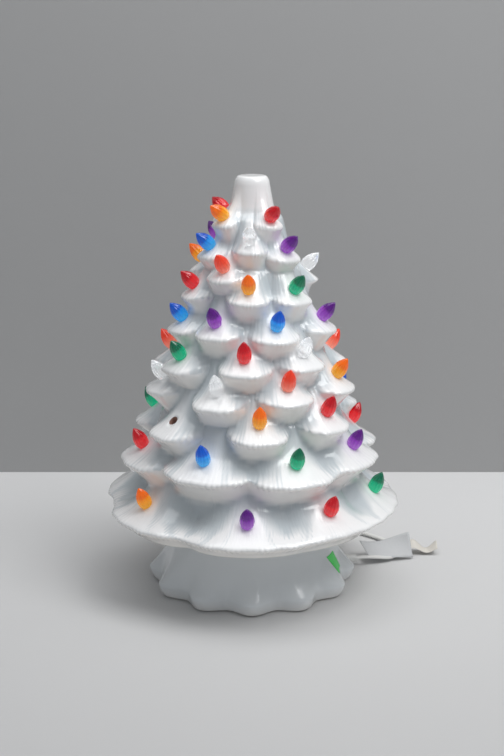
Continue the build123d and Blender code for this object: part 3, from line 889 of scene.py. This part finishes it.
def makeBase():
    count = base["columns"]
    high = base["height"]
    under = high - base["plate"]
    corner = base["corner"]
    inset, dry = base["dryInset"], base["dryHeight"]
    edge = base["edge"]
    rings = [baseRing(0, base["wall"])]
    rings += [baseRing(0, inset + base["dryEdge"]), baseRing(0, inset, corner)]
    rings += [baseRing(dry, inset), baseRing(dry, base["glazeEdge"])]
    rings += [baseRing(z) for z in np.linspace(dry + corner, base["bellyHeight"], base["bellyRows"])]
    rings += [baseRing(z) for z in np.linspace(base["bellyHeight"], high - edge, base["wallRows"])[1:]]
    for step in base["edgeTurns"]:
        turn = math.radians(step)
        rings.append(baseRing(high - edge, edge * (1 - math.cos(turn)), high - edge + edge * math.sin(turn)))
    outer = base["collar"]
    inner = outer - base["collarWall"]
    top = high + base["collarHeight"]
    bevel = base["collarEdge"]
    bore = base["socketHole"]
    outline = [
        (outer + corner, high), (outer, high + corner), (outer, top - bevel), (outer - bevel, top),
        (inner + bevel, top), (inner, top - bevel), (inner, high + corner), (inner - corner, high),
        (bore + corner, high), (bore, high - corner), (bore, under),
    ]
    rings += [circleRing(radius, z, count) for radius, z in outline]
    heights = np.linspace(under, base["insideFoot"], base["insideRows"])
    rings += [baseRing(z, base["wall"], min(z, under)) for z in heights]
    return ringPiece("base", rings, closed=True)


basePiece = makeBase()
basePiece.data.materials.append(makeGlaze("baseGlaze", rough=(0.14, 0.26), coat=0.15))
spots, normals = shapeOf(basePiece)
# painted shade: the whole base is tinted part way to the hollow colour, as the shade under the rim
setAttribute(basePiece, "relief", np.full(len(spots), base["relief"]))
# painted light: a warm bounce light on the faces of the base that look down
setAttribute(basePiece, "underside", np.clip(-normals[:, 2], 0, 1))
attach(basePiece, "base")
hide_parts("base_shell")
print("base", len(basePiece.data.polygons), "faces")


# Lights: one ridged flame, copied to every seat of its colour

flame = dict(
    profile=[(0, -9), (3.4, -9), (4, -8.4), (4, 0), (4.9, 0), (5.6, 1.4), (6.15, 3.6), (6.4, 6.5), (6.2, 8.8),
             (5.7, 11.2), (4.85, 13.6), (3.7, 15.8), (2.4, 17.8), (1.2, 19.3), (0.5, 20), (0, 20.1)],
    ridges=12, ridgeDepth=0.14, ridgeMiddle=0.6, ridgePower=0.7,
    waistHeight=9.5, waistDepth=0.05, waistReach=0.9,
    segments=48, length=20.0, colourSpots=(0.1, 0.48, 0.6),
)


def spinProfile(name, profile, steps):
    deselectAll()
    bpy.ops.mesh.primitive_plane_add(size=mm)
    piece = bpy.context.object
    piece.name = name
    bpy.ops.object.mode_set(mode="EDIT")
    bpy.ops.mesh.select_all(action="SELECT")
    bpy.ops.mesh.merge(type="CENTER")
    radius, height = profile[0]
    bpy.ops.transform.translate(value=(radius * mm, 0, height * mm))
    for (r0, z0), (r1, z1) in zip(profile, profile[1:]):
        step = ((r1 - r0) * mm, 0, (z1 - z0) * mm)
        bpy.ops.mesh.extrude_vertices_move(TRANSFORM_OT_translate={"value": step})
    bpy.ops.mesh.select_all(action="SELECT")
    bpy.ops.mesh.spin(steps=steps, angle=2 * math.pi, center=(0, 0, 0), axis=(0, 0, 1))
    bpy.ops.mesh.select_all(action="SELECT")
    bpy.ops.mesh.remove_doubles(threshold=1e-6)
    bpy.ops.mesh.normals_make_consistent(inside=False)
    bpy.ops.object.mode_set(mode="OBJECT")
    return piece


def makeFlame():
    piece = spinProfile("flame", flame["profile"], flame["segments"])
    spots, _ = shapeOf(piece)
    turn = np.arctan2(spots[:, 1], spots[:, 0])
    rise = np.clip(spots[:, 2] / flame["length"], 0, 1)
    shape = np.sin(np.pi * rise) ** flame["ridgePower"]
    ridge = flame["ridgeDepth"] * (np.abs(np.cos(flame["ridges"] / 2 * turn)) - flame["ridgeMiddle"]) * shape
    fromWaist = (spots[:, 2] - flame["waistHeight"]) / flame["waistReach"]
    waist = flame["waistDepth"] * np.exp(-(fromWaist**2))
    spots[:, :2] *= (1 + ridge - waist)[:, None]
    piece.data.vertices.foreach_set("co", (spots * mm).astype(np.float32).ravel())
    piece.data.update()
    setAttribute(piece, "rise", rise)
    pickOnly(piece)
    bpy.ops.object.shade_smooth()
    return piece


# colour at the foot, in the middle and at the tip: the plastic's own hue, with a painted glow from inside the
# tree that is brightest at the foot, and painted shade towards the dark tip
plasticHueAndGlow = dict(
    red=((0.97, 0.05, 0.06), (0.86, 0.012, 0.02), (0.52, 0.0, 0.01)),
    coral=((1.0, 0.35, 0.24), (0.95, 0.13, 0.07), (0.85, 0.06, 0.02)),
    amber=((1.0, 0.55, 0.03), (1.0, 0.36, 0.0), (0.9, 0.17, 0.0)),
    green=((0.0, 0.7, 0.36), (0.0, 0.46, 0.24), (0.0, 0.15, 0.08)),
    blue=((0.05, 0.55, 1.0), (0.01, 0.35, 0.95), (0.0, 0.1, 0.55)),
    purple=((0.5, 0.14, 0.75), (0.3, 0.04, 0.5), (0.11, 0.005, 0.22)),
    clear=((0.94, 0.95, 0.96), (0.97, 0.98, 0.99), (0.9, 0.92, 0.94)),
)


def makePlastic(colour):
    clear = colour == "clear"
    # painted light: the plastics glow by emission in their ramp colours, standing in for the light of the
    # lamp inside the tree
    material = newFinish(
        colour + "Plastic", plasticHueAndGlow[colour][1], (0.05, 0.12), scale=150.0, pits=0.3, bump=0.00015,
        Transmission_Weight=0.8 if clear else 0.45, IOR=1.49, Emission_Strength=0.14 if clear else 0.16,
        Coat_Weight=0.5, Coat_Roughness=0.03,
    )
    ramp = colourByAttribute(material, "rise", list(zip(flame["colourSpots"], plasticHueAndGlow[colour])))
    shader = material.node_tree.nodes["Principled BSDF"]
    material.node_tree.links.new(ramp, shader.inputs["Base Color"])
    material.node_tree.links.new(ramp, shader.inputs["Emission Color"])
    return material


flamePiece = makeFlame()
for colour in plasticHueAndGlow:
    copies = []
    for spot, axis in seats[colour]:
        copy = flamePiece.copy()
        copy.data = flamePiece.data.copy()
        turn = Matrix.Rotation(dice.uniform(0, math.pi), 4, "Z")
        lean = axis.to_track_quat("Z", "Y").to_matrix().to_4x4()
        copy.data.transform(Matrix.Translation(spot * mm) @ lean @ turn)
        bpy.context.scene.collection.objects.link(copy)
        copies.append(copy)
    pickOnly(copies[0])
    for copy in copies:
        copy.select_set(True)
    bpy.ops.object.join()
    bunch = bpy.context.object
    bunch.name = colour + "_flames"
    dress(bunch, "tree", colour + "_plastic", makePlastic(colour), colour + "_lights")
bpy.data.objects.remove(flamePiece)
print("lights set")


# Papers on the cord, both blank, and a plain strip of tape on the base

tag = dict(
    along=((110.29, 29.55, 9.0), (124.0, 34.0, 7.0)),
    start=-2.5, end=45.5, width=26.0, leans=(18.0, 62.0), sag=3.0, grid=(24, 10),
)
label = dict(
    along=((147.5, 54.0, 3.0), (148.0, 72.0, 3.0)),
    start=-7.0, end=7.0, width=38.0, wave=4.0, waveStart=0.6, waveGain=0.5, turns=1.4, grid=(8, 40),
)
tape = dict(directions=(65.5, 70.5), heights=(37.0, 20.0), width=17.0, proud=0.3, grid=(16, 6))
paperThickness = 0.3


# a flat grid whose corners run from 0 to 1, shaped by a function of both shares
def sheetPiece(name, columns, rows, place):
    deselectAll()
    bpy.ops.mesh.primitive_grid_add(x_subdivisions=columns, y_subdivisions=rows, size=1, location=(0, 0, 0))
    piece = bpy.context.object
    piece.name = name
    for vertex in piece.data.vertices:
        vertex.co = place(vertex.co.x + 0.5, vertex.co.y + 0.5) * mm
    piece.data.update()
    bpy.ops.object.shade_smooth()
    return piece


def runFrame(along):
    first, second = Vector(along[0]), Vector(along[1])
    forward = (second - first).normalized()
    sideways = Vector((0, 0, 1)).cross(forward).normalized()
    return (first + second) / 2, forward, sideways


def tagPlace(u, v):
    middle, forward, sideways = runFrame(tag["along"])
    lean = math.radians(mix(*tag["leans"], u * u))
    rise = sideways * math.cos(lean) + Vector((0, 0, 1)) * math.sin(lean)
    sag = Vector((0, 0, -tag["sag"])) * math.sin(math.pi * u) * v
    return middle + forward * mix(tag["start"], tag["end"], u) + rise * (tag["width"] * v) + sag


def labelPlace(u, v):
    middle, forward, sideways = runFrame(label["along"])
    curl = label["wave"] * (1 - math.cos(2 * math.pi * label["turns"] * v))
    wave = curl * (label["waveStart"] + label["waveGain"] * u)
    spot = middle + forward * mix(label["start"], label["end"], u)
    return spot - sideways * (label["width"] * v) + Vector((0, 0, wave))


def tapePlace(u, v):
    height = mix(*tape["heights"], u)
    direction = mix(*tape["directions"], u)
    radius = float(baseRadius(direction, height))
    direction += math.degrees(tape["width"] * (v - 0.5) / radius)
    return around(direction, float(baseRadius(direction, height)) + tape["proud"], height)


paper = newFinish("tagPaper", (0.6, 0.61, 0.62), (0.6, 0.8), scale=400.0, pits=0.8)
creamPaper = newFinish("labelPaper", (0.72, 0.69, 0.63), (0.45, 0.6), scale=400.0, pits=0.8)
tapeFilm = newFinish("greenTape", (0.1, 0.82, 0.16), (0.35, 0.5), scale=300.0, pits=0.5)
tagPiece = sheetPiece("blank_tag", *tag["grid"], tagPlace)
labelPiece = sheetPiece("blank_label", *label["grid"], labelPlace)
tapePiece = sheetPiece("green_tape", *tape["grid"], tapePlace)
for piece in (tagPiece, labelPiece, tapePiece):
    applyModifier(piece, "SOLIDIFY", thickness=paperThickness * mm, offset=0)
dress(tagPiece, "base", "paper", paper, "cord_tag")
dress(labelPiece, "base", "paper", creamPaper, "cord_label")
dress(tapePiece, "base", "paper", tapeFilm)
print("papers laid")


# Finishes of the pieces that keep their first shape

finishes = dict(
    socket_plastic=newFinish("socketPlastic", (0.75, 0.72, 0.66), (0.45, 0.6), scale=150.0, pits=0.5),
    brass=newFinish("brassSheet", (0.72, 0.52, 0.24), (0.2, 0.4), scale=90.0, Metallic=1.0),
    steel=newFinish("springSteel", (0.55, 0.55, 0.56), (0.25, 0.4), scale=90.0, Metallic=1.0),
    lamp_glass=newFinish(
        "lampGlass", (0.97, 0.97, 0.97), (0.0, 0.04), scale=40.0, Transmission_Weight=1.0, IOR=1.5
    ),
    lamp_insulation=newFinish("blackGlass", (0.03, 0.02, 0.035), (0.05, 0.15), scale=120.0),
    plug_vinyl=newFinish("plugVinyl", (0.76, 0.76, 0.74), (0.35, 0.5), scale=120.0, pits=0.5),
)
slots = {subpart["node"]: subpart["material_slot"] for subpart in frame["record"]["subparts"]}
for node, piece in cadNodes.items():
    if not piece.hide_render and slots[node] in finishes:
        setFinish(piece, finishes[slots[node]])
print("finishes set")
